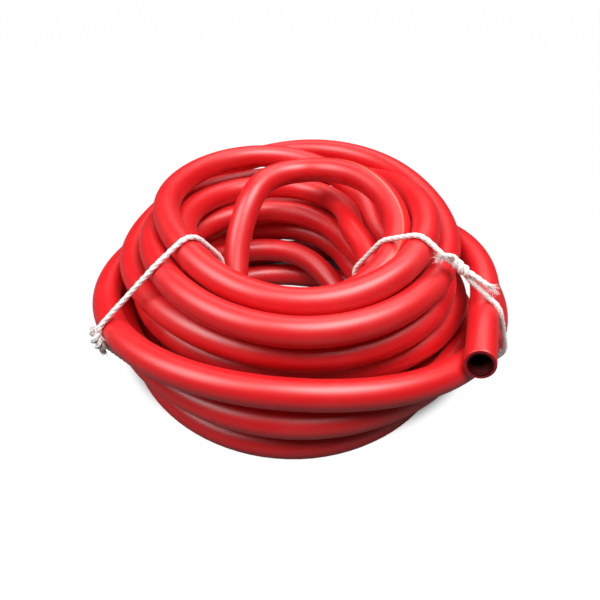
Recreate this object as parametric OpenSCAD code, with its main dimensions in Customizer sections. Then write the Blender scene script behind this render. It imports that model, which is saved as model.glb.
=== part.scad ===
// Loose coil of rubber air hose, held by two cotton ties. Millimetres, +Z up, standing on z = 0.
// The hose is one unbroken tube. Its two cut ends run straight and show the layers of the wall.

/* [Hose] */
// Bore of the hose
bore_d = 13; // [8:0.5:19]
// Thickness of the rubber lining round the bore
lining_t = 0.8; // [0.5:0.1:1.2]
// Thickness of the textile reinforcement between lining and cover
ply_t = 0.7; // [0.4:0.1:1]
// Thickness of the rubber cover
cover_t = 1; // [0.6:0.1:1.6]

/* [Cut ends] */
// Length of the free end's layered stretch, up to its cut face
free_end_len = 36; // [10:1:40]
// Length of the inner end's layered stretch, up to its cut face
inner_end_len = 10; // [4:1:11]

/* [Ties] */
// Thickness of the twisted cotton string
tie_d = 3.4; // [2:0.2:3.4]
// Gap between a tie and the hose that it holds
tie_gap = 0.3; // [0.1:0.1:0.4]
// Direction of the left tie, seen from above
left_tie_angle = 210; // [209:0.5:211]
// Direction of the right tie, seen from above
right_tie_angle = 329; // [328:0.5:331]
// Run of the left tie from its crest, outwards and down, to its knot
left_knot_run = 97; // [85:1:105]
// Run of the right tie from its crest, outwards and down, to its knot
right_knot_run = 36; // [30:1:44]
// Length of each free tail beyond a knot
tail_len = 9; // [5:1:14]

/* [Facets] */
// Rings of facets in one turn of the coil
rings = 24; // [18:6:30]
// Sides of the faceted hose
sides = 6; // [6:2:8]

/* [Hidden] */
$fn = 48;

rubber_red = [0.80, 0.06, 0.08];
ply_grey = [0.72, 0.60, 0.58];
cotton = [0.95, 0.94, 0.90];

lining_d = bore_d + 2 * lining_t;
ply_d = lining_d + 2 * ply_t;
hose_d = ply_d + 2 * cover_t;
hose_r = hose_d / 2;
// The rubber flattens by a tenth of its diameter where it lies on the floor.
floor_flat = hose_d / 10;
floor_lay = hose_r - floor_flat;

// The lay of the coil. Each row is one turn clockwise from the front, seen from above, in
// six stations: front, left, left back, right back side, ... every 60 degrees. A station is
// [radius, height above the floor lay], for a hose of lay_hose_d. All stations scale with
// the hose, so that its turns stay as close as they were laid.
lay_hose_d = 18;
lay_scale = hose_d / lay_hose_d;
station_angle = 60;
first_angle = 270;
// Slack over a tie that passes below the bottom turns.
tie_slack = 0.3;
// Height of a bottom turn where a tie passes below it.
up = (floor_flat + tie_d + tie_gap + tie_slack) / lay_scale;
LAY = [
    [56, 2], [50.5, 32], [42, 83], [54, 94], [56, 96], [71, 78],
    [77, 59.5], [75, 68], [91, 69], [88, 65], [44, 64], [55, 53],
    [62, 39], [72, 42], [76, 27], [52, 21], [39, 5], [66, up],
    [93, 0], [81, up], [72, 2], [55, 0], [66, 0], [104, up],
    [131.5, 0], [119, up], [113.5, 11], [118, 13], [109, 26], [111.5, 31.5],
    [102.5, 29], [109, 34.5], [113.5, 33.5], [112, 41], [91, 50], [105, 51],
    [110, 47.5], [112, 53.5], [132, 54], [143, 79], [109, 76], [103, 70],
    [113, 67], [102, 72.5], [111, 65.5], [128, 61], [88, 84], [89, 86],
    [95, 74], [87, 85], [103, 87], [112, 81], [65, 56.5], [76, 54],
    [82, 40], [92, 43.5], [91.5, 49], [72, 49], [50, 40.5], [69, 33.5],
    [84, 20.5], [91, 24], [97, 24], [82, 29], [52, 21.5], [84, 15.5],
    [112, 0], [100, up], [94.5, 2], [100, 0], [116, 3], [124, 17.5],
    [135, 20], [128, 22.5], [136, 14], [137, 18], [130, 31], [140.5, 30.2],
    [136, 42.5], [137.5, 39.5], [135, 34.5], [133, 37], [110, 51], [132.5, 57],
];
// Where the hose would go on from its last station: it sets the free end's direction.
lead_out = [158, 14];
last_station = len(LAY) - 1;

// A smooth curve through the stations, with a level start. Its slope at a station is the
// weighted sum of the steps round it, and the weights fall off by this factor per station.
step_decay = sqrt(3) - 2;
step_weight = sqrt(3) / 2;
step_reach = 8;
function station(i) = abs(i) > last_station ? lead_out : LAY[abs(i)];
function station_slope(i) = step_weight * lay_sum([
    for (k = [-ceil(step_reach):ceil(step_reach)])
        pow(step_decay, abs(k)) * (station(i + k + 1) - station(i + k - 1))
]);
function lay_sum(list, i = 0) = i == len(list) - 1 ? list[i] : list[i] + lay_sum(list, i + 1);
SLOPES = [for (i = [0:last_station + 1]) station_slope(i)];

function ease(a, slope_a, b, slope_b, t) =
    (2 * t * t * t - 3 * t * t + 1) * a + (t * t * t - 2 * t * t + t) * slope_a
    + (3 * t * t - 2 * t * t * t) * b + (t * t * t - t * t) * slope_b;
function lay_point(u) =
    let (i = min(floor(u), last_station))
    ease(station(i), SLOPES[i], station(i + 1), SLOPES[i + 1], u - i);

// Centre of the hose at u stations from its start, before the coil is centred on the origin.
function raw_centre(u) =
    let (p = lay_point(u) * lay_scale, a = first_angle - station_angle * u)
    [p[0] * cos(a), p[0] * sin(a), max(p[1], 0) + floor_lay];

function unit(v) = v / norm(v);
turn_stations = 360 / station_angle;
ring_step = turn_stations / rings;
RAW_ROUTE = [for (u = [0:ring_step:last_station]) raw_centre(u)];
raw_x = [for (p = RAW_ROUTE) p[0]];
raw_y = [for (p = RAW_ROUTE) p[1]];
// Middle of the coil's box, which becomes the origin.
middle = [(min(raw_x) + max(raw_x)) / 2, (min(raw_y) + max(raw_y)) / 2, 0];

// The two cut ends run straight on from the first and the last ring.
probe = 0.01;
in_axis = unit(raw_centre(0) - raw_centre(probe));
out_axis = unit(raw_centre(last_station) - raw_centre(last_station - probe));
coil_straight = hose_d;
inner_joint = RAW_ROUTE[0] + coil_straight * in_axis - middle;
free_joint = RAW_ROUTE[len(RAW_ROUTE) - 1] + coil_straight * out_axis - middle;
ROUTE = concat([inner_joint], [for (p = RAW_ROUTE) p - middle], [free_joint]);

// Direction of the hose at each ring: along the straights at the ends, elsewhere between the
// ring before and the ring after.
function along(route, i, first, last) =
    i == 0 ? first : i == len(route) - 1 ? last : unit(route[i + 1] - route[i - 1]);
ROUTE_AXES = [for (i = [0:len(ROUTE) - 1]) along(ROUTE, i, -in_axis, out_axis)];

// A ring of points round p, square to axis, with a flat towards the side that ref points at.
function ring(p, axis, ref, r, n) =
    let (b = unit(ref - (ref * axis) * axis), side = cross(b, axis))
    [for (k = [0:n - 1]) p + r * (cos(360 * k / n) * side + sin(360 * k / n) * b)];
function above_floor(p) = [p[0], p[1], max(p[2], 0)];
function flat(list) = [for (part = list) for (item = part) item];

// Skin of triangles between rings of n points, numbered from start.
function skin(count, n, start, outside) = [
    for (i = [0:count - 2])
        for (k = [0:n - 1])
            let (a = start + i * n + k, b = start + i * n + (k + 1) % n)
            for (t = [[a, b, b + n], [a, b + n, a + n]])
                outside ? t : [t[2], t[1], t[0]]
];
// A flat end between the outer ring at a and the inner ring at b.
function end_face(a, b, n, first) = [
    for (k = [0:n - 1])
        let (m = (k + 1) % n)
        for (t = [[a + k, b + k, b + m], [a + k, b + m, a + m]])
            first ? t : [t[2], t[1], t[0]]
];
// A full flat end inside the ring at a.
function end_disc(a, n, first) = [
    for (k = [1:n - 2]) first ? [a, a + k + 1, a + k] : [a, a + k, a + k + 1]
];

// Least distance between two turns, measured on points of the route, minus the hose.
gap_points = 2 * rings;
gap_reach = 5;
GAP_ROUTE = [for (u = [0:turn_stations / gap_points:last_station]) raw_centre(u)];
least_turn_gap = min([
    for (i = [0:len(GAP_ROUTE) - 1])
        for (turn = [1:last_station / turn_stations])
            for (shift = [-gap_reach:gap_reach])
                let (j = i + turn * gap_points + shift)
                if (j < len(GAP_ROUTE)) norm(GAP_ROUTE[j] - GAP_ROUTE[i])
]) - hose_d;

// The ties. A tie lies in an upright plane through the coil's axis. Points of the plane are
// [distance from the axis, height]. Seen in it, each held turn is a circle, and the tight
// string goes round the outermost ones.
tie_r = tie_d / 2;
tie_steps = 20;
left_first_turn = 1;
right_first_turn = 0;
turn_count = ceil(last_station / turn_stations);
end_overlap = 0.1;
function held_turns(angle, first_turn) = [
    for (turn = [first_turn:turn_count - 1])
        let (u = (first_angle + 360 - angle) % 360 / station_angle + turn * turn_stations)
        if (u < last_station + end_overlap)
            let (p = lay_point(u) * lay_scale)
            [p[0], max(p[1], 0) + floor_lay]
];
function farthest(centres, d, i = 0) =
    i == len(centres) - 1 ? centres[i]
    : let (rest = farthest(centres, d, i + 1)) centres[i] * d > rest * d ? centres[i] : rest;
function loop_point(centres, angle) =
    let (d = [cos(angle), sin(angle)])
    farthest(centres, d) + (hose_r + tie_gap + tie_r) * d;
function run_lengths(points, i = 0, total = 0) =
    i == len(points) - 1 ? [total]
    : concat([total], run_lengths(points, i + 1, total + norm(points[i + 1] - points[i])));

// The knot: the string's two ends twist round each other one and a half times and then
// leave as short tails.
knot_gap = 0.5;
twist_r = (tie_d + knot_gap) / 2;
twist_half = 2.7 * tie_d;
twist_turns = 1.5;
twist_steps = 6;
tail_steps = 2;
tail_rise = 0.12;
tail_sway = 0.35;
// Each knot ring is [run from the knot, offset outwards, offset sideways].
function twist_ring(x, strand) =
    let (a = 360 * twist_turns * (x + twist_half) / (2 * twist_half) + 180 * strand)
    [x, twist_r * (1 + cos(a)), twist_r * sin(a)];
function tail_ring(share, strand) =
    let (x = twist_half + share * tail_len)
    [strand == 0 ? -x : x, 2 * twist_r + tail_rise * share * tail_len,
     (strand == 0 ? 1 : -1) * tail_sway * share * tail_len];
TWIST_RUNS = [for (i = [0:twist_steps]) twist_half * (2 * i / twist_steps - 1)];
TAIL_SHARES = [for (i = [1:tail_steps]) i / tail_steps];
last_tail = tail_steps - 1;
START_RINGS = concat(
    [for (i = [last_tail:-1:0]) tail_ring(TAIL_SHARES[i], 0)],
    [for (x = TWIST_RUNS) twist_ring(x, 0)]
);
END_RINGS = concat(
    [for (x = TWIST_RUNS) twist_ring(x, 1)],
    [for (share = TAIL_SHARES) tail_ring(share, 1)]
);

function tie_route(angle, first_turn, knot_run) =
    let (
        centres = held_turns(angle, first_turn),
        loop = [for (k = [0:tie_steps]) loop_point(centres, 90 - 360 * k / tie_steps)],
        runs = run_lengths(loop),
        total = runs[tie_steps],
        laps = [for (lap = [-1:1]) for (k = [0:tie_steps - 1]) [lap, k]],
        out_table = [for (q = laps) [runs[q[1]] + q[0] * total, loop[q[1]][0]]],
        up_table = [for (q = laps) [runs[q[1]] + q[0] * total, loop[q[1]][1]]],
        plain = [
            for (q = laps)
                let (x = runs[q[1]] + q[0] * total - knot_run)
                if (x > twist_half + tie_d / 2 && x < total - twist_half - tie_d / 2) [x, 0, 0]
        ],
        rings_along = concat(START_RINGS, plain, [for (q = END_RINGS) q + [total, 0, 0]])
    )
    [
        for (q = rings_along)
            let (
                x = q[0] + knot_run,
                x_in = x > 2 * total - tie_d ? x - total : x,
                p = [lookup(x_in, out_table), lookup(x_in, up_table)],
                back = [lookup(x_in - tie_d, out_table), lookup(x_in - tie_d, up_table)],
                fore = [lookup(x_in + tie_d, out_table), lookup(x_in + tie_d, up_table)],
                go = unit(fore - back),
                outward = [-go[1], go[0]],
                at = p + q[1] * outward
            )
            [at[0] * cos(angle) - q[2] * sin(angle), at[0] * sin(angle) + q[2] * cos(angle),
             at[1]] - middle
    ];

echo(least_gap_between_turns = least_turn_gap);

module hose_coil() {
    count = len(ROUTE);
    up_side = [0, 0, 1];
    outer = flat([for (i = [0:count - 1]) ring(ROUTE[i], ROUTE_AXES[i], up_side, hose_r, sides)]);
    inner = flat([for (i = [0:count - 1]) ring(ROUTE[i], ROUTE_AXES[i], up_side, bore_d / 2, sides)]);
    first_inner = count * sides;
    last_ring = (count - 1) * sides;
    color(rubber_red)
        polyhedron(
            points = [for (p = concat(outer, inner)) above_floor(p)],
            faces = concat(
                skin(count, sides, 0, true),
                skin(count, sides, first_inner, false),
                end_face(0, first_inner, sides, true),
                end_face(last_ring, first_inner + last_ring, sides, false)
            )
        );
}

// One layer of the hose wall along a straight cut end, from its joint with the coil.
module wall_layer(joint, axis, length, outer_d, inner_d) {
    translate(joint)
        rotate([0, acos(axis[2]), atan2(axis[1], axis[0])])
            difference() {
                cylinder(h = length, d = outer_d);
                translate([0, 0, -1])
                    cylinder(h = length + 2, d = inner_d);
            }
}

module free_end_cover() {
    color(rubber_red)
        wall_layer(free_joint, out_axis, free_end_len, hose_d, ply_d);
}

module free_end_reinforcement() {
    color(ply_grey)
        wall_layer(free_joint, out_axis, free_end_len, ply_d, lining_d);
}

module free_end_lining() {
    color(rubber_red)
        wall_layer(free_joint, out_axis, free_end_len, lining_d, bore_d);
}

module inner_end_cover() {
    color(rubber_red)
        wall_layer(inner_joint, in_axis, inner_end_len, hose_d, ply_d);
}

module inner_end_reinforcement() {
    color(ply_grey)
        wall_layer(inner_joint, in_axis, inner_end_len, ply_d, lining_d);
}

module inner_end_lining() {
    color(rubber_red)
        wall_layer(inner_joint, in_axis, inner_end_len, lining_d, bore_d);
}

// A tie: one string along its route, with flat cut ends.
module string(route, plane_side) {
    count = len(route);
    n = 6;
    axes = [
        for (i = [0:count - 1])
            unit(route[min(i + 1, count - 1)] - route[max(i - 1, 0)])
    ];
    points = flat([for (i = [0:count - 1]) ring(route[i], axes[i], plane_side, tie_r, n)]);
    color(cotton)
        polyhedron(
            points = [for (p = points) above_floor(p)],
            faces = concat(
                skin(count, n, 0, true),
                end_disc(0, n, true),
                end_disc((count - 1) * n, n, false)
            )
        );
}

module left_tie() {
    string(tie_route(left_tie_angle, left_first_turn, left_knot_run),
           [-sin(left_tie_angle), cos(left_tie_angle), 0]);
}

module right_tie() {
    string(tie_route(right_tie_angle, right_first_turn, right_knot_run),
           [-sin(right_tie_angle), cos(right_tie_angle), 0]);
}

hose_coil();
free_end_cover();
free_end_reinforcement();
free_end_lining();
inner_end_cover();
inner_end_reinforcement();
inner_end_lining();
left_tie();
right_tie();
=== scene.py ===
"""Coiled rubber air hose with two cotton ties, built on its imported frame.

Lengths in the lay table and in the named sizes are millimetres, as in the part's source.
Everything that goes into Blender is in metres.
"""

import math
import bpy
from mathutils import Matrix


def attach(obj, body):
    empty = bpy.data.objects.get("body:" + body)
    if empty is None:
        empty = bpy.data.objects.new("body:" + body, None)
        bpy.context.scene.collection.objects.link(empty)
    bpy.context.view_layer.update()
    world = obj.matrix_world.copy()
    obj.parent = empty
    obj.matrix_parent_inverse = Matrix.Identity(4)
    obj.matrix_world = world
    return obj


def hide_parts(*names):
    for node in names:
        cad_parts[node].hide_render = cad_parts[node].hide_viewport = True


bl_info = {
    "name": "Coiled Air Hose",
    "version": (1, 0, 0),
    "blender": (4, 5, 0),
    "location": "View3D > Sidebar > Hose",
    "description": "Builds a loose coil of rubber air hose, held by two cotton ties",
    "category": "Add Mesh",
}

import bpy
from bpy.props import EnumProperty, FloatProperty, FloatVectorProperty
from bpy.props import IntProperty, PointerProperty
from mathutils import Vector

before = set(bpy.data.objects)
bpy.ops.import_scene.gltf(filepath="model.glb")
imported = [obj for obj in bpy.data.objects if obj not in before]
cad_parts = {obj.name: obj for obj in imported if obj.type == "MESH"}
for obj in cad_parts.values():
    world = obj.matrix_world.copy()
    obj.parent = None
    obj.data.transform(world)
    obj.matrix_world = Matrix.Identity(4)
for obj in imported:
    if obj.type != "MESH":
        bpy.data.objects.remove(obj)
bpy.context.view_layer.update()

MM = 0.001

# ---- The lay of the coil, as in the part's source ----

BORE_D = 13.0
LINING_T = 0.8
PLY_T = 0.7
COVER_T = 1.0
LINING_D = BORE_D + 2 * LINING_T
PLY_D = LINING_D + 2 * PLY_T
HOSE_D = PLY_D + 2 * COVER_T
FLOOR_FLAT = HOSE_D / 10
FLOOR_LAY = HOSE_D / 2 - FLOOR_FLAT
FREE_END_LEN = 36.0
INNER_END_LEN = 10.0

TIE_D = 3.4
TIE_GAP = 0.3
TIE_SLACK = 0.3
LEFT_TIE_ANGLE = 210.0
RIGHT_TIE_ANGLE = 329.0
LEFT_KNOT_RUN = 97.0
RIGHT_KNOT_RUN = 36.0
KNOT_GAP = 0.5
# How far the inner layers stand back from the cut face of the cover.
PLY_SINK = 0.15
LINING_SINK = 0.05

# The record's one body.
ROOT = "root"

# Height of a bottom turn where a tie passes below it.
UP = FLOOR_FLAT + TIE_D + TIE_GAP + TIE_SLACK

# One row a turn: (radius, height above the floor lay) every 60 degrees, from the front,
# clockwise seen from above.
LAY = [
    [(56, 2), (50.5, 32), (42, 83), (54, 94), (56, 96), (71, 78)],
    [(77, 59.5), (75, 68), (91, 69), (88, 65), (44, 64), (55, 53)],
    [(62, 39), (72, 42), (76, 27), (52, 21), (39, 5), (66, UP)],
    [(93, 0), (81, UP), (72, 2), (55, 0), (66, 0), (104, UP)],
    [(131.5, 0), (119, UP), (113.5, 11), (118, 13), (109, 26), (111.5, 31.5)],
    [(102.5, 29), (109, 34.5), (113.5, 33.5), (112, 41), (91, 50), (105, 51)],
    [(110, 47.5), (112, 53.5), (132, 54), (143, 79), (109, 76), (103, 70)],
    [(113, 67), (102, 72.5), (111, 65.5), (128, 61), (88, 84), (89, 86)],
    [(95, 74), (87, 85), (103, 87), (112, 81), (65, 56.5), (76, 54)],
    [(82, 40), (92, 43.5), (91.5, 49), (72, 49), (50, 40.5), (69, 33.5)],
    [(84, 20.5), (91, 24), (97, 24), (82, 29), (52, 21.5), (84, 15.5)],
    [(112, 0), (100, UP), (94.5, 2), (100, 0), (116, 3), (124, 17.5)],
    [(135, 20), (128, 22.5), (136, 14), (137, 18), (130, 31), (140.5, 30.2)],
    [(136, 42.5), (137.5, 39.5), (135, 34.5), (133, 37), (110, 51), (132.5, 57)],
]
LEAD_OUT = (158, 14)
STATIONS = [station for turn in LAY for station in turn] + [LEAD_OUT]
LAST_STATION = len(STATIONS) - 2
TURN_STATIONS = 6
STATION_ANGLE = 360 / TURN_STATIONS
FIRST_ANGLE = 270.0
PART_RINGS = 24
STEP_DECAY = math.sqrt(3) - 2
STEP_WEIGHT = math.sqrt(3) / 2
STEP_REACH = 8
UPRIGHT = Vector((0, 0, 1))


def station(i):
    return STATIONS[min(abs(i), LAST_STATION + 1)]


def station_slope(i):
    """The change a station, as the slope of a curve through all the stations."""
    total = [0.0, 0.0]
    for k in range(-STEP_REACH, STEP_REACH + 1):
        weight = STEP_WEIGHT * STEP_DECAY ** abs(k)
        for axis in (0, 1):
            total[axis] += weight * (station(i + k + 1)[axis] - station(i + k - 1)[axis])
    return total


SLOPES = [station_slope(i) for i in range(LAST_STATION + 2)]


def eased(t):
    """A smooth way from 0 to 1."""
    return t * t * (3 - 2 * t)


def lay_point(u):
    """(radius, height above the floor) at u stations from the hose's start."""
    i = min(int(math.floor(u)), LAST_STATION)
    t = u - i
    a, b = station(i), station(i + 1)
    slope_a, slope_b = SLOPES[i], SLOPES[i + 1]
    radius, height = [
        a[k] + (b[k] - a[k]) * eased(t) + t * (1 - t) * ((1 - t) * slope_a[k] - t * slope_b[k])
        for k in (0, 1)
    ]
    return radius, max(height, 0) + FLOOR_LAY


def level_way(angle):
    """The level direction away from the axis at that angle, in degrees."""
    a = math.radians(angle)
    return Vector((math.cos(a), math.sin(a), 0))


def raw_centre(u):
    radius, height = lay_point(u)
    return radius * level_way(FIRST_ANGLE - STATION_ANGLE * u) + height * UPRIGHT


def coil_middle():
    """Middle of the coil's box before it is centred, measured on the part's rings."""
    step = TURN_STATIONS / PART_RINGS
    rings = [raw_centre(i * step) for i in range(int(LAST_STATION / step) + 1)]
    sides = [[p[k] for p in rings] for k in (0, 1)]
    return Vector([(min(side) + max(side)) / 2 for side in sides] + [0])


MIDDLE = coil_middle()
PROBE = 0.01
IN_AXIS = (raw_centre(0) - raw_centre(PROBE)).normalized()
OUT_AXIS = (raw_centre(LAST_STATION) - raw_centre(LAST_STATION - PROBE)).normalized()
INNER_JOINT = raw_centre(0) - MIDDLE + HOSE_D * IN_AXIS
FREE_JOINT = raw_centre(LAST_STATION) - MIDDLE + HOSE_D * OUT_AXIS
INNER_CUT = INNER_JOINT + INNER_END_LEN * IN_AXIS
FREE_CUT = FREE_JOINT + FREE_END_LEN * OUT_AXIS


# ---- Settings ----


def count_property(name, description, default, least):
    return IntProperty(name=name, description=description, default=default, min=least)


def amount_property(name, description, default, **limits):
    return FloatProperty(name=name, description=description, default=default, min=0, **limits)


def length_property(name, description, default):
    return amount_property(name, description, default, unit="LENGTH")


def colour_property(name, description, default):
    return FloatVectorProperty(
        name=name, description=description, default=default, subtype="COLOR", size=3, min=0, max=1
    )


class HoseSettings(bpy.types.PropertyGroup):
    """Sizes and colours of the hose"""

    rings_per_turn: count_property("Rings per turn", "Rings of faces in one turn", 120, 24)
    ring_sides: count_property("Ring sides", "Faces round the hose", 36, 8)
    cover_colour: colour_property("Cover", "Red rubber of the cover", (0.72, 0.003, 0.007))
    bloom_colour: colour_property("Bloom", "Paler film on handled rubber", (0.80, 0.10, 0.10))
    cut_colour: colour_property("Cut rubber", "Cut rubber of the wall", (0.38, 0.014, 0.030))
    ply_colour: colour_property("Plies", "Textile plies at the cut", (0.30, 0.035, 0.045))
    lining_colour: colour_property("Lining", "Rubber round the bore", (0.055, 0.002, 0.003))
    seam_colour: colour_property("Seam", "Thin line along the cover", (0.80, 0.34, 0.16))
    gloss: amount_property("Roughness", "Roughness of the satin cover", 0.41, max=1)


class TieSettings(bpy.types.PropertyGroup):
    """Sizes and colours of the cotton ties"""

    thickness: length_property("String", "Thickness of the twisted string", TIE_D * MM)
    plies: count_property("Plies", "Plies twisted into the string", 3, 2)
    yarns: count_property("Yarns", "Yarns twisted into a ply", 3, 2)
    ply_pitch: length_property("Ply pitch", "Length in which a ply goes round once", 0.014)
    yarn_pitch: length_property("Yarn pitch", "Length in which a yarn goes round", 0.006)
    fibres: count_property("Fibres", "Loose fibres in each frayed end", 70, 1)
    fibre_length: length_property("Fibre length", "Length of the longest fibres", 0.0075)
    fibre_spread: length_property("Fibre spread", "How far the fibres fan out", 0.0035)
    cotton_colour: colour_property("Cotton", "Undyed cotton", (1.0, 0.97, 0.94))


class StageSettings(bpy.types.PropertyGroup):
    """Camera, floor and lamps"""

    camera_back: length_property("Back", "Camera's distance in front of the coil's axis", 0.360)
    camera_height: length_property("Height", "Camera's height above the floor", 0.262)
    camera_tilt: amount_property("Tilt", "Downward angle", math.radians(34), subtype="ANGLE")
    camera_lens: amount_property("Lens", "Focal length in mm", 34.2)
    # The floor's own dark grey, which bounces little light; the camera sees it only under the
    # turns, as a painted shadow there.
    floor_colour: colour_property("Floor", "Floor under the coil", (0.14, 0.14, 0.14))
    whiteness: amount_property("Whiteness", "Share of floor shadow washed out", 0.91, max=1)
    mirrored: amount_property("Mirrored", "Share of the floor's white in reflections", 0.02, max=1)
    floor_half: length_property("Floor half", "Half of the floor's side", 6.0)
    ambient: amount_property("Ambient", "Even light from all sides", 0.03)
    key_power: amount_property("Key", "Power of the softbox overhead, in watts", 13.5)
    side_power: amount_property("Side", "Power of the softbox at the left, in watts", 10.0)
    back_power: amount_property("Back light", "Power of the softbox behind, in watts", 3.0)


# ---- Routes ----


def route_axes(route):
    last = len(route) - 1
    return [
        (route[min(i + 1, last)] - route[max(i - 1, 0)]).normalized() for i in range(last + 1)
    ]


def run_lengths(route):
    runs = [0.0]
    for a, b in zip(route, route[1:]):
        runs.append(runs[-1] + (b - a).length)
    return runs


# ---- Node helpers ----

SOCKET_KINDS = {float: "Float", int: "Int"}


def feed_socket(tree, socket, value):
    """Feed an input with another node's output or a plain value."""
    if isinstance(value, bpy.types.NodeSocket):
        tree.links.new(value, socket)
    else:
        socket.default_value = value


def feed(tree, node, values):
    """Feed a node's inputs, which are given by name or number."""
    for name, value in values.items():
        feed_socket(tree, node.inputs[name], value)


def add_node(tree, kind, values=None, **attributes):
    """A node with attributes such as operation, and with its inputs fed."""
    node = tree.nodes.new(kind)
    for name, value in attributes.items():
        setattr(node, name, value)
    feed(tree, node, values or {})
    return node


def output_of(tree, kind, values=None, output=0, **attributes):
    """One output, by name or number, of a new node."""
    return add_node(tree, kind, values, **attributes).outputs[output]


def by_identifier(sockets):
    return {socket.identifier: socket for socket in sockets}


def maths(tree, operation, a, b=0.0):
    return output_of(tree, "ShaderNodeMath", {0: a, 1: b}, operation=operation)


def times(tree, a, b):
    return maths(tree, "MULTIPLY", a, b)


def plus(tree, a, b):
    return maths(tree, "ADD", a, b)


def smooth_mask(tree, value, low, high):
    """0 below low and 1 above high, with a smooth step between."""
    values = {"Value": value, "From Min": low, "From Max": high}
    return output_of(tree, "ShaderNodeMapRange", values, interpolation_type="SMOOTHSTEP")


def blend_colours(tree, factor, a, b):
    """The colour a, blended to b by factor."""
    node = add_node(tree, "ShaderNodeMix", data_type="RGBA")
    sockets = by_identifier(node.inputs)
    for name, value in (("Factor_Float", factor), ("A_Color", a), ("B_Color", b)):
        feed_socket(tree, sockets[name], value)
    return by_identifier(node.outputs)["Result_Color"]


def opaque(colour):
    return (*colour, 1.0)


def noise(tree, vector, scale, detail=2.0, roughness=0.5):
    values = {"Vector": vector, "Scale": scale, "Detail": detail, "Roughness": roughness}
    return output_of(tree, "ShaderNodeTexNoise", values, "Fac")


def object_place(tree):
    return output_of(tree, "ShaderNodeTexCoord", output="Object")


def node_group(name, kind, inputs, outputs):
    """A node group, its given values and its output node.

    Each input is named with its default value, or with its kind where it has none. Each output
    is named with its kind.
    """
    tree = bpy.data.node_groups.new(name, kind)
    for in_out, sockets in (("INPUT", inputs), ("OUTPUT", outputs)):
        for label, value in sockets.items():
            socket_type = f"NodeSocket{SOCKET_KINDS.get(type(value), value)}"
            socket = tree.interface.new_socket(label, in_out=in_out, socket_type=socket_type)
            if type(value) in SOCKET_KINDS:
                socket.default_value = value
    given = tree.nodes.new("NodeGroupInput").outputs
    return tree, given, tree.nodes.new("NodeGroupOutput")


def shared_group(name, make):
    """The node group of that name, made the first time it is asked for."""
    return bpy.data.node_groups.get(name) or make()


# ---- Surface effects, shared by the materials ----

# Each pair is where a mask is 0 and where it is 1.
SPECK_EDGE = (0.16, 0.06)
DUSTY = (0.64, 0.68)
BLOOMED = (0.42, 0.72)
SEAM_WANDER = 0.012
SEAM_CORE = 0.35
WANDER_SCALE = 9.0
# Scale, detail and roughness of the noises, and the last two where the scale is given.
DUST_NOISE = (90.0, 3.0, 0.7)
PATCH_NOISE = (4.0, 0.6)
TORN_NOISE = (4.0, 0.7)


def handled_rubber_group():
    """Bloom, dust and uneven roughness of rubber that has been handled."""
    tree, given, out = node_group(
        "Handled rubber",
        "ShaderNodeTree",
        {
            "Patch Scale": 22.0,
            "Grain Scale": 2600.0,
            "Speck Scale": 420.0,
            "Base Roughness": 0.4,
            "Roughness Change": 0.12,
        },
        {"Bloom": "Float", "Specks": "Float", "Roughness": "Float", "Height": "Float"},
    )
    place = object_place(tree)
    patches = noise(tree, place, given["Patch Scale"], *PATCH_NOISE)
    cells = {"Vector": place, "Scale": given["Speck Scale"]}
    spot = smooth_mask(tree, output_of(tree, "ShaderNodeTexVoronoi", cells), *SPECK_EDGE)
    rare = smooth_mask(tree, noise(tree, place, *DUST_NOISE), *DUSTY)
    uneven = maths(tree, "SUBTRACT", patches, 0.5)
    change = times(tree, uneven, given["Roughness Change"])
    results = {
        "Bloom": smooth_mask(tree, patches, *BLOOMED),
        "Specks": times(tree, spot, rare),
        "Roughness": plus(tree, given["Base Roughness"], change),
        "Height": noise(tree, place, given["Grain Scale"]),
    }
    feed(tree, out, results)
    return tree


def drawn_lines_group():
    """Fine lines that the die leaves along a hose, and the hose's seam."""
    tree, given, out = node_group(
        "Drawn lines",
        "ShaderNodeTree",
        {"Lines Round": 120.0, "Lines Along": 6.0, "Seam Width": 0.016},
        {"Height": "Float", "Seam": "Float"},
    )
    uv = output_of(tree, "ShaderNodeUVMap", uv_map="HoseUV")
    parts = add_node(tree, "ShaderNodeSeparateXYZ", {"Vector": uv}).outputs
    round_it, along_it = parts["X"], parts["Y"]
    stretch = {
        "X": times(tree, round_it, given["Lines Round"]),
        "Y": times(tree, along_it, given["Lines Along"]),
    }
    stretched = output_of(tree, "ShaderNodeCombineXYZ", stretch)
    wander = noise(tree, output_of(tree, "ShaderNodeCombineXYZ", {"Y": along_it}), WANDER_SCALE)
    shifted = plus(tree, round_it, times(tree, wander, SEAM_WANDER))
    away = maths(tree, "PINGPONG", shifted, 0.5)
    core = times(tree, given["Seam Width"], SEAM_CORE)
    seam = smooth_mask(tree, away, given["Seam Width"], core)
    feed(tree, out, {"Seam": seam, "Height": noise(tree, stretched, 1.0)})
    return tree


def torn_group():
    """Grain of rubber and textile where a knife went through."""
    sockets = {"Scale": 1900.0}, {"Grain": "Float"}
    tree, given, out = node_group("Torn grain", "ShaderNodeTree", *sockets)
    feed(tree, out, {"Grain": noise(tree, object_place(tree), given["Scale"], *TORN_NOISE)})
    return tree


EFFECTS = {
    "Handled rubber": handled_rubber_group,
    "Drawn lines": drawn_lines_group,
    "Torn grain": torn_group,
}


def effect(tree, name, values=None):
    """The outputs of a node that holds the effect's group."""
    group = shared_group(name, EFFECTS[name])
    return add_node(tree, "ShaderNodeGroup", values, node_tree=group).outputs


# ---- Materials ----

# How strongly each effect colours the cover, or shapes it beside the seam.
BLOOM_SHARE = 0.10
SEAM_SHARE = 0.42
SPECK_SHARE = 0.35
GRAIN_SHAPE = 0.5
LINE_SHAPE = 0.6
DUST_COLOUR = (0.85, 0.62, 0.55)
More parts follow.
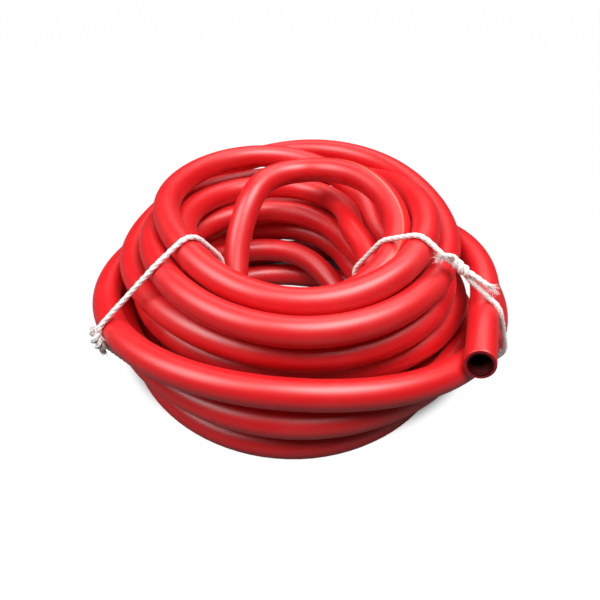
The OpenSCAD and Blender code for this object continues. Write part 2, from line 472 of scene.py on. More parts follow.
# Torn grain goes from a darker to a lighter colour of the same hue.
TORN_DARK = 0.55
TORN_LIGHT = 1.45
COTTON_SHADE = 0.92
SOIL_SHARE = 0.15
SOIL_COLOUR = (0.62, 0.48, 0.36)
CUT_ROUGHNESS = 0.62
PLY_ROUGHNESS = 0.85
LINING_ROUGHNESS = 0.5
# Strength of each relief, and its depth in metres.
COVER_RELIEF = (0.25, 0.00008)
TORN_RELIEF = (0.5, 0.00012)
COTTON_RELIEF = (0.35, 0.0002)


def new_material(name):
    material = bpy.data.materials.new(name)
    material.use_nodes = True
    tree = material.node_tree
    tree.nodes.clear()
    shader = tree.nodes.new("ShaderNodeBsdfPrincipled")
    output = tree.nodes.new("ShaderNodeOutputMaterial")
    tree.links.new(shader.outputs[0], output.inputs["Surface"])
    return material, tree, shader


def relief(tree, height, strength, distance):
    values = {"Height": height, "Strength": strength, "Distance": distance}
    return output_of(tree, "ShaderNodeBump", values)


def cover_material(hose):
    """Satin red rubber with a thin paler seam, slight bloom and a few specks of dust."""
    material, tree, shader = new_material("Red rubber cover")
    handled = effect(tree, "Handled rubber", {"Base Roughness": hose.gloss})
    drawn = effect(tree, "Drawn lines")
    colour = opaque(hose.cover_colour)
    for mask, share, other in (
        (handled["Bloom"], BLOOM_SHARE, hose.bloom_colour),
        (drawn["Seam"], SEAM_SHARE, hose.seam_colour),
        (handled["Specks"], SPECK_SHARE, DUST_COLOUR),
    ):
        colour = blend_colours(tree, times(tree, mask, share), colour, opaque(other))
    grain = times(tree, handled["Height"], GRAIN_SHAPE)
    height = plus(tree, grain, times(tree, drawn["Height"], LINE_SHAPE))
    height = plus(tree, height, drawn["Seam"])
    values = {
        "Base Color": colour,
        "Roughness": handled["Roughness"],
        "Normal": relief(tree, height, *COVER_RELIEF),
        "IOR": 1.75,
        "Sheen Weight": 0.04,
        "Sheen Roughness": 0.35,
    }
    feed(tree, shader, values)
    return material


def cut_material(name, colour, roughness):
    """Rubber or textile where a knife went through it: matt, with fine torn grain."""
    material, tree, shader = new_material(name)
    torn = effect(tree, "Torn grain")["Grain"]
    dark = opaque([TORN_DARK * c for c in colour])
    light = opaque([min(1.0, TORN_LIGHT * c) for c in colour])
    values = {
        "Base Color": blend_colours(tree, torn, dark, light),
        "Normal": relief(tree, torn, *TORN_RELIEF),
        "Roughness": roughness,
        "Specular IOR Level": 0.06,
    }
    feed(tree, shader, values)
    return material


def cotton_material(name, tie):
    """Undyed cotton with a soft sheen and a little soil."""
    material, tree, shader = new_material(name)
    fibres = effect(tree, "Torn grain", {"Scale": 1500.0})["Grain"]
    soil = effect(tree, "Handled rubber", {"Patch Scale": 60.0})["Bloom"]
    shade = opaque([COTTON_SHADE * c for c in tie.cotton_colour])
    colour = blend_colours(tree, fibres, shade, opaque(tie.cotton_colour))
    soil = times(tree, soil, SOIL_SHARE)
    values = {
        "Base Color": blend_colours(tree, soil, colour, opaque(SOIL_COLOUR)),
        "Normal": relief(tree, fibres, *COTTON_RELIEF),
        "Roughness": 0.9,
        "Sheen Weight": 0.25,
        "Sheen Roughness": 0.5,
    }
    feed(tree, shader, values)
    return material


# ---- Geometry nodes: a skin of rings, a twisted string and its frayed ends ----

FULL_TURN = 2 * math.pi
# Parts of the hose's skin, as the rings carry them.
SIDE, CUT, BORE = 0.0, 1.0, 2.0
# Rings of the hose closer than this, in metres, are joined.
SAME_PLACE = 1e-6
# Three hard rods in a circle have 0.464 of its radius. Soft plies and yarns press into each
# other, so they are thicker and lie closer to the middle.
PLY_FILL, PLY_SPREAD = 0.65, 0.32
YARN_FILL, YARN_SPREAD = 0.82, 0.38
YARN_SIDES = 6
FIBRE_SIDES = 3
# How the loose fibres open, where they start across the string, and how they wave.
FAN_POWER = 1.5
FIBRE_BASE = 0.8
WAVES = 7.0
WAVE_SIZE = 0.0006
SHORTEST_FIBRE = 0.45
# Keeps the random numbers of the two ends apart.
END_STRIDE = 997.0


def vector_maths(tree, operation, a, b=(0.0, 0.0, 0.0), output="Vector"):
    return output_of(tree, "ShaderNodeVectorMath", {0: a, 1: b}, output, operation=operation)


def scaled(tree, vector, factor):
    values = {"Vector": vector, "Scale": factor}
    return output_of(tree, "ShaderNodeVectorMath", values, operation="SCALE")


def turned(tree, side, up, angle, radius):
    """The vector of that radius at an angle from side towards up."""
    across = scaled(tree, side, times(tree, maths(tree, "COSINE", angle), radius))
    upwards = scaled(tree, up, times(tree, maths(tree, "SINE", angle), radius))
    return vector_maths(tree, "ADD", across, upwards)


def index_of(tree):
    return output_of(tree, "GeometryNodeInputIndex")


def through(tree, kind, geometry, values=None, **modes):
    """What a geometry node makes of the geometry, which is its first input."""
    return output_of(tree, f"GeometryNode{kind}", {0: geometry, **(values or {})}, **modes)


def of_chain(tree, chain, value, kind, at):
    """The value of a field at one point of the chain."""
    values = {"Value": value, "Index": at}
    modes = {"data_type": kind, "domain": "POINT", "clamp": True}
    return through(tree, "SampleIndex", chain, values, **modes)


def named_of_chain(tree, chain, name, at, kind="FLOAT"):
    """A named attribute of the chain at one of its points."""
    field = output_of(tree, "GeometryNodeInputNamedAttribute", {"Name": name}, data_type=kind)
    return of_chain(tree, chain, field, kind, at)


def whole_part(tree, value, divisor):
    """The whole number of times that divisor goes into a whole value."""
    share = maths(tree, "DIVIDE", plus(tree, value, 0.5), divisor)
    return maths(tree, "FLOOR", share)


def swept_rings_group():
    """A skin over a chain of rings, one ring square to the axis at each of its points.

    The chain's points carry axis, radius, seam, run and slant (how far a ring leans back at its
    top, as a share of its radius), and the part (SIDE, CUT or BORE) of the band that follows
    them.
    """
    tree, given, out = node_group(
        "Swept rings",
        "GeometryNodeTree",
        {
            "Chain": "Geometry",
            "Sides": 36,
            "Side Material": "Material",
            "Cut Material": "Material",
            "Bore Material": "Material",
        },
        {"Skin": "Geometry"},
    )
    chain, sides = given["Chain"], given["Sides"]
    rings = through(tree, "AttributeDomainSize", chain, component="MESH")
    columns = plus(tree, sides, 1.0)
    skin = output_of(tree, "GeometryNodeMeshGrid", {"Vertices X": rings, "Vertices Y": columns})
    ring = whole_part(tree, index_of(tree), columns)
    column = maths(tree, "SUBTRACT", index_of(tree), times(tree, ring, columns))
    share = maths(tree, "DIVIDE", column, sides)

    position = output_of(tree, "GeometryNodeInputPosition")
    centre = of_chain(tree, chain, position, "FLOAT_VECTOR", ring)
    axis = named_of_chain(tree, chain, "axis", ring, "FLOAT_VECTOR")
    names = ("radius", "slant", "seam", "run")
    radius, slant, seam, run = [named_of_chain(tree, chain, name, ring) for name in names]
    upright = tuple(UPRIGHT)
    lean = scaled(tree, axis, vector_maths(tree, "DOT_PRODUCT", axis, upright, "Value"))
    up = vector_maths(tree, "NORMALIZE", vector_maths(tree, "SUBTRACT", upright, lean))
    side = vector_maths(tree, "CROSS_PRODUCT", up, axis)
    angle = times(tree, share, FULL_TURN)
    place = vector_maths(tree, "ADD", centre, turned(tree, side, up, angle, radius))
    rise = times(tree, radius, maths(tree, "SINE", angle))
    back = scaled(tree, axis, times(tree, slant, rise))
    place = vector_maths(tree, "SUBTRACT", place, back)
    lowest = output_of(tree, "ShaderNodeCombineXYZ", {"X": -1.0, "Y": -1.0})
    place = vector_maths(tree, "MAXIMUM", place, lowest)

    values = {"X": maths(tree, "SUBTRACT", share, seam), "Y": run}
    values = {"Value": output_of(tree, "ShaderNodeCombineXYZ", values)}
    modes = {"data_type": "FLOAT_VECTOR", "domain": "POINT"}
    uv = output_of(tree, "GeometryNodeFieldOnDomain", values, **modes)
    skin = through(tree, "SetPosition", skin, {"Position": place})
    values = {"Name": "HoseUV", "Value": uv}
    skin = through(tree, "StoreNamedAttribute", skin, values, data_type="FLOAT2", domain="CORNER")

    band = whole_part(tree, index_of(tree), sides)
    part = named_of_chain(tree, chain, "part", band)
    cut = maths(tree, "COMPARE", part, CUT)
    bore = maths(tree, "GREATER_THAN", part, (CUT + BORE) / 2)
    for label, selection in (("Side", True), ("Cut", cut), ("Bore", bore)):
        values = {"Material": given[f"{label} Material"], "Selection": selection}
        skin = through(tree, "SetMaterial", skin, values)
    values = {"Shade Smooth": maths(tree, "SUBTRACT", 1.0, cut)}
    skin = through(tree, "SetShadeSmooth", skin, values, domain="FACE")
    skin = through(tree, "MergeByDistance", skin, {"Distance": SAME_PLACE})
    feed(tree, out, {"Skin": through(tree, "RealizeInstances", skin)})
    return tree


def copied_splines(tree, curve, amount):
    """Copies of each spline, and the number of each copy."""
    values = {"Geometry": curve, "Amount": amount}
    copies = add_node(tree, "GeometryNodeDuplicateElements", values, domain="SPLINE").outputs
    return copies["Geometry"], copies["Duplicate Index"]


def finish_threads(tree, threads, sides, radius, material, out):
    """Round, closed and smooth skins on the threads, with a material: the end of a group."""
    values = {"Resolution": sides, "Radius": radius}
    circle = output_of(tree, "GeometryNodeCurvePrimitiveCircle", values)
    skin = through(tree, "CurveToMesh", threads, {"Profile Curve": circle, "Fill Caps": True})
    skin = through(tree, "RealizeInstances", through(tree, "SetShadeSmooth", skin))
    feed(tree, out, {0: through(tree, "SetMaterial", skin, {"Material": material})})


def twisted_string_group():
    """A string of plies twisted together, each of them twisted the other way from yarns."""
    tree, given, out = node_group(
        "Twisted string",
        "GeometryNodeTree",
        {
            "Route": "Geometry",
            "Thickness": 0.0034,
            "Plies": 3,
            "Yarns": 3,
            "Ply Pitch": 0.011,
            "Yarn Pitch": 0.005,
            "Step": 0.0006,
            "Material": "Material",
        },
        {"String": "Geometry"},
    )
    curve = through(tree, "MeshToCurve", given["Route"])
    curve = through(tree, "ResampleCurve", curve, {"Length": given["Step"]}, mode="LENGTH")
    curve = through(tree, "SetCurveNormal", curve, mode="MINIMUM_TWIST")
    amount = times(tree, given["Plies"], given["Yarns"])
    yarns, yarn = copied_splines(tree, curve, amount)
    ply = whole_part(tree, yarn, given["Yarns"])
    run = output_of(tree, "GeometryNodeSplineParameter", output="Length")
    tangent = output_of(tree, "GeometryNodeInputTangent")
    normal = output_of(tree, "GeometryNodeInputNormal")
    across = vector_maths(tree, "CROSS_PRODUCT", tangent, normal)

    def twist(pitch, place, count, sense):
        turns = times(tree, maths(tree, "DIVIDE", run, pitch), sense)
        turns = plus(tree, turns, maths(tree, "DIVIDE", place, count))
        return times(tree, turns, FULL_TURN)

    string_r = times(tree, given["Thickness"], 0.5)
    ply_r = times(tree, string_r, PLY_FILL)
    ply_angle = twist(given["Ply Pitch"], ply, given["Plies"], 1.0)
    yarn_angle = twist(given["Yarn Pitch"], yarn, given["Yarns"], -1.0)
    ply_off = times(tree, string_r, PLY_SPREAD)
    yarn_off = times(tree, ply_r, YARN_SPREAD)
    ply_at = turned(tree, normal, across, ply_angle, ply_off)
    yarn_at = turned(tree, normal, across, yarn_angle, yarn_off)
    values = {"Offset": vector_maths(tree, "ADD", ply_at, yarn_at)}
    yarns = through(tree, "SetPosition", yarns, values)
    yarn_r = times(tree, ply_r, YARN_FILL)
    finish_threads(tree, yarns, YARN_SIDES, yarn_r, given["Material"], out)
    return tree


def frayed_ends_group():
    """Loose fibres that fan out along each spline of the route, from its first point."""
    tree, given, out = node_group(
        "Frayed ends",
        "GeometryNodeTree",
        {
            "Route": "Geometry",
            "Fibres": 70,
            "Thickness": 0.0034,
            "Spread": 0.0035,
            "Fibre Radius": 0.00011,
            "Seed": 3,
            "Material": "Material",
        },
        {"Fibres": "Geometry"},
    )
    curve = through(tree, "MeshToCurve", given["Route"])
    fibres, fibre = copied_splines(tree, curve, given["Fibres"])
    modes = {"data_type": "FLOAT", "domain": "CURVE"}
    end = output_of(tree, "GeometryNodeFieldOnDomain", {"Value": index_of(tree)}, **modes)
    own = plus(tree, fibre, times(tree, end, END_STRIDE))

    def chance(kind, low, high, extra):
        values = {"ID": own, "Seed": plus(tree, given["Seed"], extra)}
        node = add_node(tree, "FunctionNodeRandomValue", values, data_type=kind)
        sockets = by_identifier(node.inputs)
        suffix = "" if kind == "FLOAT_VECTOR" else "_001"
        sockets["Min" + suffix].default_value = low
        sockets["Max" + suffix].default_value = high
        return by_identifier(node.outputs)["Value" + suffix]

    def chance_vector(reach, extra):
        return chance("FLOAT_VECTOR", (-reach,) * 3, (reach,) * 3, extra)

    share = output_of(tree, "GeometryNodeSplineParameter", output="Factor")
    fan = scaled(tree, chance_vector(1.0, 1), given["Spread"])
    fan = scaled(tree, fan, maths(tree, "POWER", share, FAN_POWER))
    across = times(tree, given["Thickness"], FIBRE_BASE)
    base = scaled(tree, chance_vector(0.5, 2), across)
    start = chance("FLOAT", 0.0, 6.3, 3)
    wave = maths(tree, "SINE", plus(tree, times(tree, share, WAVES), start))
    wave = times(tree, wave, times(tree, share, WAVE_SIZE))
    wave = scaled(tree, chance_vector(1.0, 4), wave)
    offset = vector_maths(tree, "ADD", vector_maths(tree, "ADD", fan, base), wave)
    fibres = through(tree, "SetPosition", fibres, {"Offset": offset})
    values = {"End": chance("FLOAT", SHORTEST_FIBRE, 1.0, 5)}
    fibres = through(tree, "TrimCurve", fibres, values, mode="FACTOR")
    finish_threads(tree, fibres, FIBRE_SIDES, given["Fibre Radius"], given["Material"], out)
    return tree


def add_object(name, data):
    thing = bpy.data.objects.new(name, data)
    bpy.context.scene.collection.objects.link(thing)
    return thing


def bake(name, source, group, values):
    """The plain mesh that a node group makes from the source, as a new piece."""
    modifier = source.modifiers.new(group.name, "NODES")
    modifier.node_group = group
    for item in group.interface.items_tree:
        if item.item_type == "SOCKET" and item.in_out == "INPUT" and item.name in values:
            modifier[item.identifier] = values[item.name]
    depsgraph = bpy.context.evaluated_depsgraph_get()
    evaluated = source.evaluated_get(depsgraph)
    mesh = bpy.data.meshes.new_from_object(evaluated, depsgraph=depsgraph)
    mesh.name = name
    if not mesh.polygons:
        raise RuntimeError(f"{group.name} made nothing for {name}")
    source.modifiers.clear()
    bpy.data.objects.remove(source)
    return add_object(name, mesh)


def chain_source(name, chains):
    """A mesh of edges along each list of points, which are given in millimetres."""
    vertices, edges = [], []
    for chain in chains:
        first = len(vertices)
        vertices += [tuple(p * MM) for p in chain]
        edges += [(first + i, first + i + 1) for i in range(len(chain) - 1)]
    mesh = bpy.data.meshes.new(name)
    mesh.from_pydata(vertices, edges, [])
    return add_object(name, mesh)


# ---- The hose ----

# (stations from the start, angle of the seam round the hose): 0 is outwards, 90 is up.
SEAM_TURNS = [(0, -75), (1.2, -60), (3.1, 70), (4.2, 96), (5.3, 60), (6.5, -90), (84.0, -80)]
CUT_BEVEL = 0.3
# How far the free cut leans back at its top, as a share of the radius.
CUT_SLANT = 0.29
STRAIGHT_STEP = 4.0
BORE_STRIDE = 4
# The bore's rings keep clear of the layers at the two ends by this length.
BORE_CLEAR = 1.0


def seam_angle(u):
    for (u_a, a), (u_b, b) in zip(SEAM_TURNS, SEAM_TURNS[1:]):
        if u <= u_b:
            t = max(0.0, (u - u_a) / (u_b - u_a))
            return a + (b - a) * eased(t)
    return SEAM_TURNS[-1][1]


def straight_points(start, axis, length):
    count = max(1, round(length / STRAIGHT_STEP))
    return [start + axis * (length * i / count) for i in range(1, count + 1)]


def hose_route(rings_per_turn):
    """Centres of the rings from cut to cut, and the station number at each."""
    step = TURN_STATIONS / rings_per_turn
    count = round(LAST_STATION / step)
    coil = [raw_centre(i * step) - MIDDLE for i in range(count + 1)]
    inner = straight_points(coil[0], IN_AXIS, HOSE_D + INNER_END_LEN)
    outer = straight_points(coil[-1], OUT_AXIS, HOSE_D + FREE_END_LEN)
    stations = [0.0] * len(inner) + [i * step for i in range(count + 1)]
    stations += [float(LAST_STATION)] * len(outer)
    return inner[::-1] + coil + outer, stations


def ring_source(name, rings):
    """A chain with one point for each ring (centre, axis, radius, seam, run, part, slant)."""
    centres, axes, *numbers = zip(*rings)
    source = chain_source(name, [centres])
    attributes = source.data.attributes
    flat = [x for axis in axes for x in axis]
    attributes.new("axis", "FLOAT_VECTOR", "POINT").data.foreach_set("vector", flat)
    kinds = ("radius", MM), ("seam", 1 / 360), ("run", MM), ("part", 1.0), ("slant", 1.0)
    for (label, unit), values in zip(kinds, numbers):
        values = [value * unit for value in values]
        attributes.new(label, "FLOAT", "POINT").data.foreach_set("value", values)
    return source


def cover_rings(hose):
    """Rings out along the cover, over the free cut, and back through the bore."""
    route, stations = hose_route(hose.rings_per_turn)
    axes = route_axes(route)
    runs = run_lengths(route)
    last = len(route) - 1
    cover_r, ply_r, bore_r = HOSE_D / 2, PLY_D / 2, BORE_D / 2
    cut_r = cover_r - CUT_BEVEL
    to_free_joint = (FREE_JOINT - route[last]).dot(axes[last])
    to_inner_joint = (INNER_JOINT - route[0]).dot(axes[0])

    def ring(i, radius, part, shift=0.0, slant=0.0):
        centre = route[i] + axes[i] * shift
        return (centre, axes[i], radius, seam_angle(stations[i]), runs[i] + shift, part, slant)

    rings = [ring(0, cut_r, SIDE), ring(0, cover_r, SIDE, CUT_BEVEL)]
    rings += [ring(i, cover_r, SIDE) for i in range(1, last)]
    rings += [
        ring(last, cover_r, SIDE, -CUT_BEVEL, CUT_SLANT),
        ring(last, cut_r, CUT, 0.0, CUT_SLANT),
        ring(last, ply_r, BORE, 0.0, CUT_SLANT),
        ring(last, ply_r, BORE, to_free_joint),
        ring(last, bore_r, BORE, to_free_joint),
    ]
    nearest, farthest = INNER_END_LEN + BORE_CLEAR, runs[-1] - FREE_END_LEN - BORE_CLEAR
    inside = [i for i in range(0, last, BORE_STRIDE) if nearest < runs[i] < farthest]
    rings += [ring(i, bore_r, BORE) for i in reversed(inside)]
    rings += [
        ring(0, bore_r, BORE, to_inner_joint),
        ring(0, ply_r, BORE, to_inner_joint),
        ring(0, ply_r, CUT),
        ring(0, cut_r, CUT),
    ]
    return rings, route


def layer_rings(cut, joint, axis, outer_d, inner_d, stand_out, slant):
    """Rings of one layer of the wall: out to its cut, over it, and back to the joint."""
    face = cut + axis * stand_out
    places = (
        (joint, outer_d, BORE, 0.0),
        (face, outer_d, CUT, slant),
        (face, inner_d, BORE, slant),
        (joint, inner_d, CUT, 0.0),
        (joint, outer_d, CUT, 0.0),
    )
    length = (cut - joint).length
    return [(p, axis, d / 2, 0.0, length, part, lean) for p, d, part, lean in places]


def build_hose(context):
    """The cover with its cut ends, and the two inner layers of the wall at each end."""
    hose = context.scene.air_hose
    cover = cover_material(hose)
    cut = cut_material("Cut red rubber", hose.cut_colour, CUT_ROUGHNESS)
    ply = cut_material("Cut textile plies", hose.ply_colour, PLY_ROUGHNESS)
    lining = cut_material("Lining rubber", hose.lining_colour, LINING_ROUGHNESS)
    group = swept_rings_group()

    def baked(name, rings, side, cut_face, bore):
        values = {
            "Sides": hose.ring_sides,
            "Side Material": side,
            "Cut Material": cut_face,
            "Bore Material": bore,
        }
        return bake(name, ring_source(f"{name}_rings", rings), group, values)

    rings, route = cover_rings(hose)
    skin = baked("hose_cover", rings, cover, cut, lining)
    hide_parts("hose_coil", "free_end_cover", "inner_end_cover")
    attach(skin, ROOT)

    kinds = (
        ("reinforcement", "reinforcement", PLY_D, LINING_D, -PLY_SINK, ply),
        ("lining", "hose_lining", LINING_D, BORE_D, -LINING_SINK, lining),
    )
    for end, cut_at, joint, axis, slant in (
        ("free", FREE_CUT, FREE_JOINT, OUT_AXIS, CUT_SLANT),
        ("inner", INNER_CUT, INNER_JOINT, IN_AXIS, 0.0),
    ):
        for layer, slot, outer_d, inner_d, stand_out, material in kinds:
            name = f"{end}_end_{layer}"
            rings = layer_rings(cut_at, joint, axis, outer_d, inner_d, stand_out, slant)
            piece = baked(f"{name}_skin", rings, material, material, material)
            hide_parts(name)
            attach(piece, ROOT)


# ---- The ties ----

LOOP_STEPS = 120
ROUTE_STEP = 1.5
TWIST_R = (TIE_D + KNOT_GAP) / 2
TWIST_HALF = 2.0 * TIE_D
TWIST_TURNS = 1.5
TWIST_STEPS = 36
# Share of the twist over which a string end comes in from the side.
TWIST_EASE = 0.25
# The string rounds its corners: each place is the mean of its neighbours' along this run.
SOFT_STEP = 1.0
SOFT_REACH = 3
TAIL_STEPS = 8
TAIL_RISE = 0.12
FRAY_STEPS = 10
# How far inside the string's tip the fibres start.
FRAY_START = 1.0
END_OVERLAP = 0.1

# A tie crosses the low turns at one angle round the coil and the top turns at another, a little
# further to the front, and its knot is lifted towards the crest. Each tail is (length, sway to
# the side). The fray scales the fibres.
LEAN_HEIGHTS = (20.0, 95.0)
TIES = {
    "left": {
        "node": "left_tie",
        "first_turn": 1,
        "knot_run": LEFT_KNOT_RUN,
        "knot_lift": 9.0,
        "angles": (LEFT_TIE_ANGLE, 219.5),
        "tails": ((1.5, 0.1), (2.5, 0.05)),
        "fray": 0.35,
        "seed": 3,
    },
    "right": {
        "node": "right_tie",
        "first_turn": 0,
        "knot_run": RIGHT_KNOT_RUN,
        "knot_lift": 5.0,
        "angles": (RIGHT_TIE_ANGLE, 322.5),
        "tails": ((6.5, 1.25), (11.0, -0.05)),
        "fray": 1.0,
        "seed": 8,
    },
}


def turn_at(turn, angle):
    """(distance from the axis, height) of a turn where it passes that angle, or None."""
    u = (FIRST_ANGLE + 360 - angle) % 360 / STATION_ANGLE + turn * TURN_STATIONS
    return Vector(lay_point(u)) if u < LAST_STATION + END_OVERLAP else None


def held_turns(first_turn, angles):
    """(place in the upright plane, angle of the plane) where the tie crosses each turn."""
    low, high = LEAN_HEIGHTS
    turns = []
    for turn in range(first_turn, len(LAY)):
        place = turn_at(turn, angles[0])
        if place is not None:
            share = min(1.0, max(0.0, (place.y - low) / (high - low)))
            angle = angles[0] + (angles[1] - angles[0]) * share
            turns.append((turn_at(turn, angle), angle))
    return turns


def tight_loop(first_turn, angles):
    """The taut string round the turns, from the crest outwards and down: (point, outwards)."""
    reach = HOSE_D / 2 + TIE_GAP + TIE_D / 2
    turns = held_turns(first_turn, angles)
    loop = []
    for k in range(LOOP_STEPS + 1):
        d = level_way(90 - 360 * k / LOOP_STEPS).xy
        place, angle = max(turns, key=lambda turn, d=d: turn[0].dot(d))
        radial = level_way(angle)
        outward = d.x * radial + d.y * UPRIGHT
        loop.append((place.x * radial + place.y * UPRIGHT + reach * outward - MIDDLE, outward))
    return loop


def point_on(loop, runs, x):
    """(point, outwards) at the run x along the closed loop."""
    x %= runs[-1]
    i = max(k for k in range(len(runs) - 1) if runs[k] <= x)
    step = runs[i + 1] - runs[i]
    share = 0.0 if step == 0 else (x - runs[i]) / step
    (p, out_p), (q, out_q) = loop[i], loop[i + 1]
    return p.lerp(q, share), out_p.lerp(out_q, share).normalized()


def softened(loop):
    """The loop with its corners rounded, in even steps."""
    runs = run_lengths([p for p, _ in loop])
    count = round(runs[-1] / SOFT_STEP)
    even = [point_on(loop, runs, runs[-1] * i / count) for i in range(count)]
    soft = []
    for i in range(count):
        near = [even[(i + k) % count] for k in range(-SOFT_REACH, SOFT_REACH + 1)]
        middle = sum((p for p, _ in near), Vector()) / len(near)
        outward = sum((out for _, out in near), Vector()).normalized()
        soft.append((middle, outward))
    return soft + soft[:1]


def twist_offsets(x, strand):
    """Offsets outwards and sideways of a string end at x from the knot's middle."""
    share = (x + TWIST_HALF) / (2 * TWIST_HALF)
    a = FULL_TURN * (TWIST_TURNS * share + strand / 2)
    ease = eased(min(1.0, share / TWIST_EASE, (1 - share) / TWIST_EASE))
    return TWIST_R * (1 + math.cos(a)), TWIST_R * math.sin(a) * ease


def tail_marks(tail):
    """(run beyond the twist, offset outwards, offset sideways) along a tail."""
    length, sway = tail
    shares = [i / TAIL_STEPS for i in range(1, TAIL_STEPS + 1)]
    rise = TAIL_RISE * length
    return [(length * t, 2 * TWIST_R + rise * t, sway * length * t * t) for t in shares]


def tie_route(tie):
    """The string from one tail's tip, through the knot, round the coil and back to the other."""
    loop = softened(tight_loop(tie["first_turn"], tie["angles"]))
    runs = run_lengths([p for p, _ in loop])
    total = runs[-1]
    start, end = tie["tails"]
    twist_xs = [TWIST_HALF * (2 * i / TWIST_STEPS - 1) for i in range(TWIST_STEPS + 1)]
    plain = total - 2 * (TWIST_HALF + ROUTE_STEP)
    count = round(plain / ROUTE_STEP)
    first = TWIST_HALF + ROUTE_STEP
    marks = [(-TWIST_HALF - run, out, side) for run, out, side in reversed(tail_marks(start))]
    marks += [(x, *twist_offsets(x, 0)) for x in twist_xs]
    marks += [(first + plain * i / count, 0.0, 0.0) for i in range(count + 1)]
    marks += [(total + x, *twist_offsets(x, 1)) for x in twist_xs]
    marks += [(total + TWIST_HALF + run, out, side) for run, out, side in tail_marks(end)]
    route = []
    knot = tie["knot_run"] - tie["knot_lift"]
    for x, outward, sideways in marks:
        here, out_way = point_on(loop, runs, knot + x)
        back, _ = point_on(loop, runs, knot + x - TIE_D)
        fore, _ = point_on(loop, runs, knot + x + TIE_D)
        go = (fore - back).normalized()
        side_way = go.cross(out_way).normalized()
        route.append(here + outward * out_way + sideways * side_way)
    return route


def fray_chain(route, length):
    """A short line on from the route's first point, along its end."""
    way = (route[0] - route[2]).normalized()
    steps = range(FRAY_STEPS + 1)
    return [route[0] + way * (length * i / FRAY_STEPS - FRAY_START) for i in steps]


def build_tie(context, side):
    """One cotton string round the turns, and the loose fibres at its two ends."""
    tie = context.scene.cotton_ties
    name = f"{side}_string"
    cotton = cotton_material(f"Undyed cotton, {side}", tie)
    route = tie_route(TIES[side])
    values = {
        "Thickness": tie.thickness,
        "Plies": tie.plies,
        "Yarns": tie.yarns,
        "Ply Pitch": tie.ply_pitch,
        "Yarn Pitch": tie.yarn_pitch,
        "Material": cotton,
    }
    group = shared_group("Twisted string", twisted_string_group)
    string = bake(name, chain_source(f"{name}_route", [route]), group, values)
    fray = TIES[side]["fray"]
    length = fray * tie.fibre_length / MM
    ends = [fray_chain(route, length), fray_chain(route[::-1], length)]
    values = {
        "Fibres": tie.fibres,
        "Thickness": tie.thickness,
        "Spread": fray * tie.fibre_spread,
        "Seed": TIES[side]["seed"],
        "Material": cotton,
    }
    group = shared_group("Frayed ends", frayed_ends_group)
    fibres = bake(f"{name}_fibres", chain_source(f"{name}_ends", ends), group, values)
    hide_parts(TIES[side]["node"])
    for piece in (string, fibres):
        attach(piece, ROOT)


# ---- The stage ----

# Name, place, size and setting with the power of each lamp. All point at the coil's middle.
LAMPS = (
    ("Softbox overhead", (0.3, -0.25, 1.05), (0.8, 0.5), "key_power"),
    ("Softbox left", (-0.75, -0.3, 0.95), (0.7, 0.7), "side_power"),
    ("Softbox behind", (0.1, 0.7, 1.0), (0.9, 0.5), "back_power"),
)
LAMP_AIM = Vector((0.0, 0.0, 0.05))
WHITE = (1.0, 1.0, 1.0, 1.0)
SENSOR_WIDTH = 36.0
# Just over 1, so that what is left of the shadows ends in pure white.
FLOOR_GLOW = 1.09
# Distances from the axis at which the floor's whiteness ends and starts: it is white in the
# coil's eye and outside the coil. Between them, under the turns, the floor shows its own dark
# grey: a painted shadow ring, laid over the lamps' real shadow.
EYE_EDGE = (0.068, 0.050)
COIL_EDGE = (0.122, 0.136)


def area_lamp(name, location, size, power):
    data = bpy.data.lights.new(name, "AREA")
    data.shape = "RECTANGLE"
    data.size, data.size_y = size
    data.energy = power
    way = (LAMP_AIM - Vector(location)).to_track_quat("-Z", "Y")
    place(add_object(name, data), location, way.to_euler())


def place(thing, location, rotation):
    thing.location = location
    thing.rotation_euler = rotation


def floor_material(stage):
    """White where the camera or a reflection sees it, less most of its shadows; dull to other
    light. Under the turns the white is taken away, so the floor shows its dark grey colour
    there: a painted shadow ring, on top of the lamps' own shadow.
    """
    material, tree, shader = new_material("Studio floor")
    values = {
        "Base Color": opaque(stage.floor_colour),
        "Roughness": 0.9,
        "Specular IOR Level": 0.0,
    }
    feed(tree, shader, values)
    rays = tree.nodes.new("ShaderNodeLightPath").outputs
    mirrored = times(tree, rays["Is Glossy Ray"], stage.mirrored)
    seen = maths(tree, "MAXIMUM", rays["Is Camera Ray"], mirrored)
    white = output_of(tree, "ShaderNodeEmission", {"Color": WHITE, "Strength": FLOOR_GLOW})
    # Painted shadow: between the eye and the coil's outer edge the white is taken away, and the
    # floor's dark grey shows under the turns.
    away = vector_maths(tree, "LENGTH", object_place(tree), output="Value")
    eye = smooth_mask(tree, away, *EYE_EDGE)
    outside = smooth_mask(tree, away, *COIL_EDGE)
    clear = times(tree, maths(tree, "MAXIMUM", eye, outside), stage.whiteness)
    values = {0: times(tree, seen, clear), 1: shader.outputs[0], 2: white}
    output = next(n for n in tree.nodes if n.type == "OUTPUT_MATERIAL")
    feed(tree, output, {"Surface": output_of(tree, "ShaderNodeMixShader", values)})
    return material


def white_world(ambient):
    """Pure white to the camera, and a soft even light to everything else."""
    world = bpy.data.worlds.new("White studio")
    world.use_nodes = True
    tree = world.node_tree
    tree.nodes.clear()
    seen = output_of(tree, "ShaderNodeBackground", {"Color": WHITE, "Strength": 1.0})
    light = output_of(tree, "ShaderNodeBackground", {"Color": WHITE, "Strength": ambient})
    rays = tree.nodes.new("ShaderNodeLightPath").outputs
    values = {0: rays["Is Camera Ray"], 1: light, 2: seen}
    mix = output_of(tree, "ShaderNodeMixShader", values)
    add_node(tree, "ShaderNodeOutputWorld", {"Surface": mix})
    bpy.context.scene.world = world


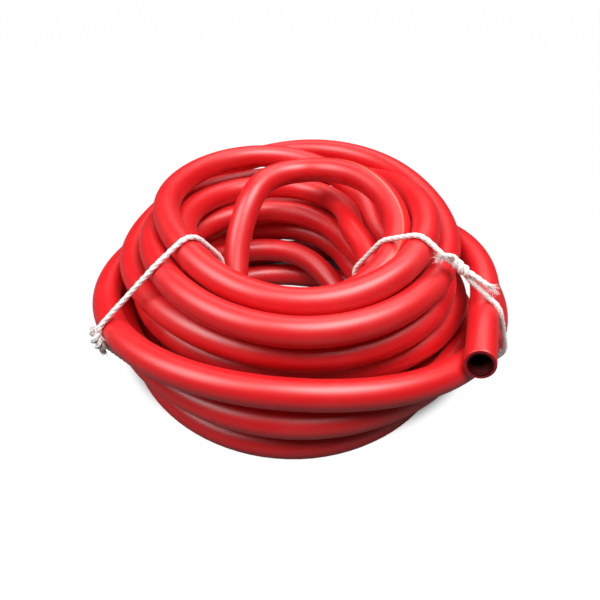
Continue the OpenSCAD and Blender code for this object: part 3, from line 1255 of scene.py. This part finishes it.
def build_stage(context):
    """Floor, lamps, white surroundings and camera."""
    stage = context.scene.hose_stage
    mesh = bpy.data.meshes.new("floor")
    half = stage.floor_half
    corners = [(-half, -half, 0), (half, -half, 0), (half, half, 0), (-half, half, 0)]
    mesh.from_pydata(corners, [], [(0, 1, 2, 3)])
    mesh.materials.append(floor_material(stage))
    add_object("floor", mesh)
    white_world(stage.ambient)
    for name, location, size, power in LAMPS:
        area_lamp(name, location, size, getattr(stage, power))

    data = bpy.data.cameras.new("camera")
    data.lens = stage.camera_lens
    data.sensor_width = SENSOR_WIDTH
    camera = add_object("camera", data)
    shift = MIDDLE * MM
    location = (-shift.x, -stage.camera_back - shift.y, stage.camera_height)
    place(camera, location, (math.pi / 2 - stage.camera_tilt, 0.0, 0.0))
    context.scene.camera = camera
    context.scene.view_settings.view_transform = "Standard"


# ---- Operators and panel ----


class BuildHose(bpy.types.Operator):
    """Build the rubber hose, with its cut ends"""

    bl_idname = "hose.build_hose"
    bl_label = "Hose"

    def execute(self, context):
        build_hose(context)
        return {"FINISHED"}


class BuildTie(bpy.types.Operator):
    """Build the cotton string tied round one side of the coil"""

    bl_idname = "hose.build_tie"
    bl_label = "Tie"

    side: EnumProperty(items=[(side, side.title(), f"The {side} tie") for side in TIES])

    def execute(self, context):
        build_tie(context, self.side)
        return {"FINISHED"}


class BuildStage(bpy.types.Operator):
    """Build the floor, lamps, surroundings and camera"""

    bl_idname = "hose.build_stage"
    bl_label = "Stage"

    def execute(self, context):
        build_stage(context)
        return {"FINISHED"}


class HosePanel(bpy.types.Panel):
    """Sidebar panel with the hose's sizes and its build steps"""

    bl_idname = "VIEW3D_PT_air_hose"
    bl_label = "Coiled Air Hose"
    bl_space_type = "VIEW_3D"
    bl_region_type = "UI"
    bl_category = "Hose"

    def draw(self, context):
        scene = context.scene
        for title, settings, operator in (
            ("Hose", scene.air_hose, BuildHose),
            ("Ties", scene.cotton_ties, BuildTie),
            ("Stage", scene.hose_stage, BuildStage),
        ):
            box = self.layout.box()
            box.label(text=title)
            for name in settings.__annotations__:
                box.prop(settings, name)
            if operator is BuildTie:
                for side in TIES:
                    box.operator(operator.bl_idname, text=f"{side.title()} Tie").side = side
            else:
                box.operator(operator.bl_idname)


GROUPS = (HoseSettings, "air_hose"), (TieSettings, "cotton_ties"), (StageSettings, "hose_stage")
CLASSES = (BuildHose, BuildTie, BuildStage, HosePanel)


def register():
    for group, name in GROUPS:
        bpy.utils.register_class(group)
        setattr(bpy.types.Scene, name, PointerProperty(type=group))
    for cls in CLASSES:
        bpy.utils.register_class(cls)


def unregister():
    for cls in reversed(CLASSES):
        bpy.utils.unregister_class(cls)
    for group, name in reversed(GROUPS):
        delattr(bpy.types.Scene, name)
        bpy.utils.unregister_class(group)


def main():
    register()
    bpy.ops.hose.build_hose()
    for side in TIES:
        bpy.ops.hose.build_tie(side=side)
    bpy.ops.hose.build_stage()


if __name__ == "__main__":
    main()
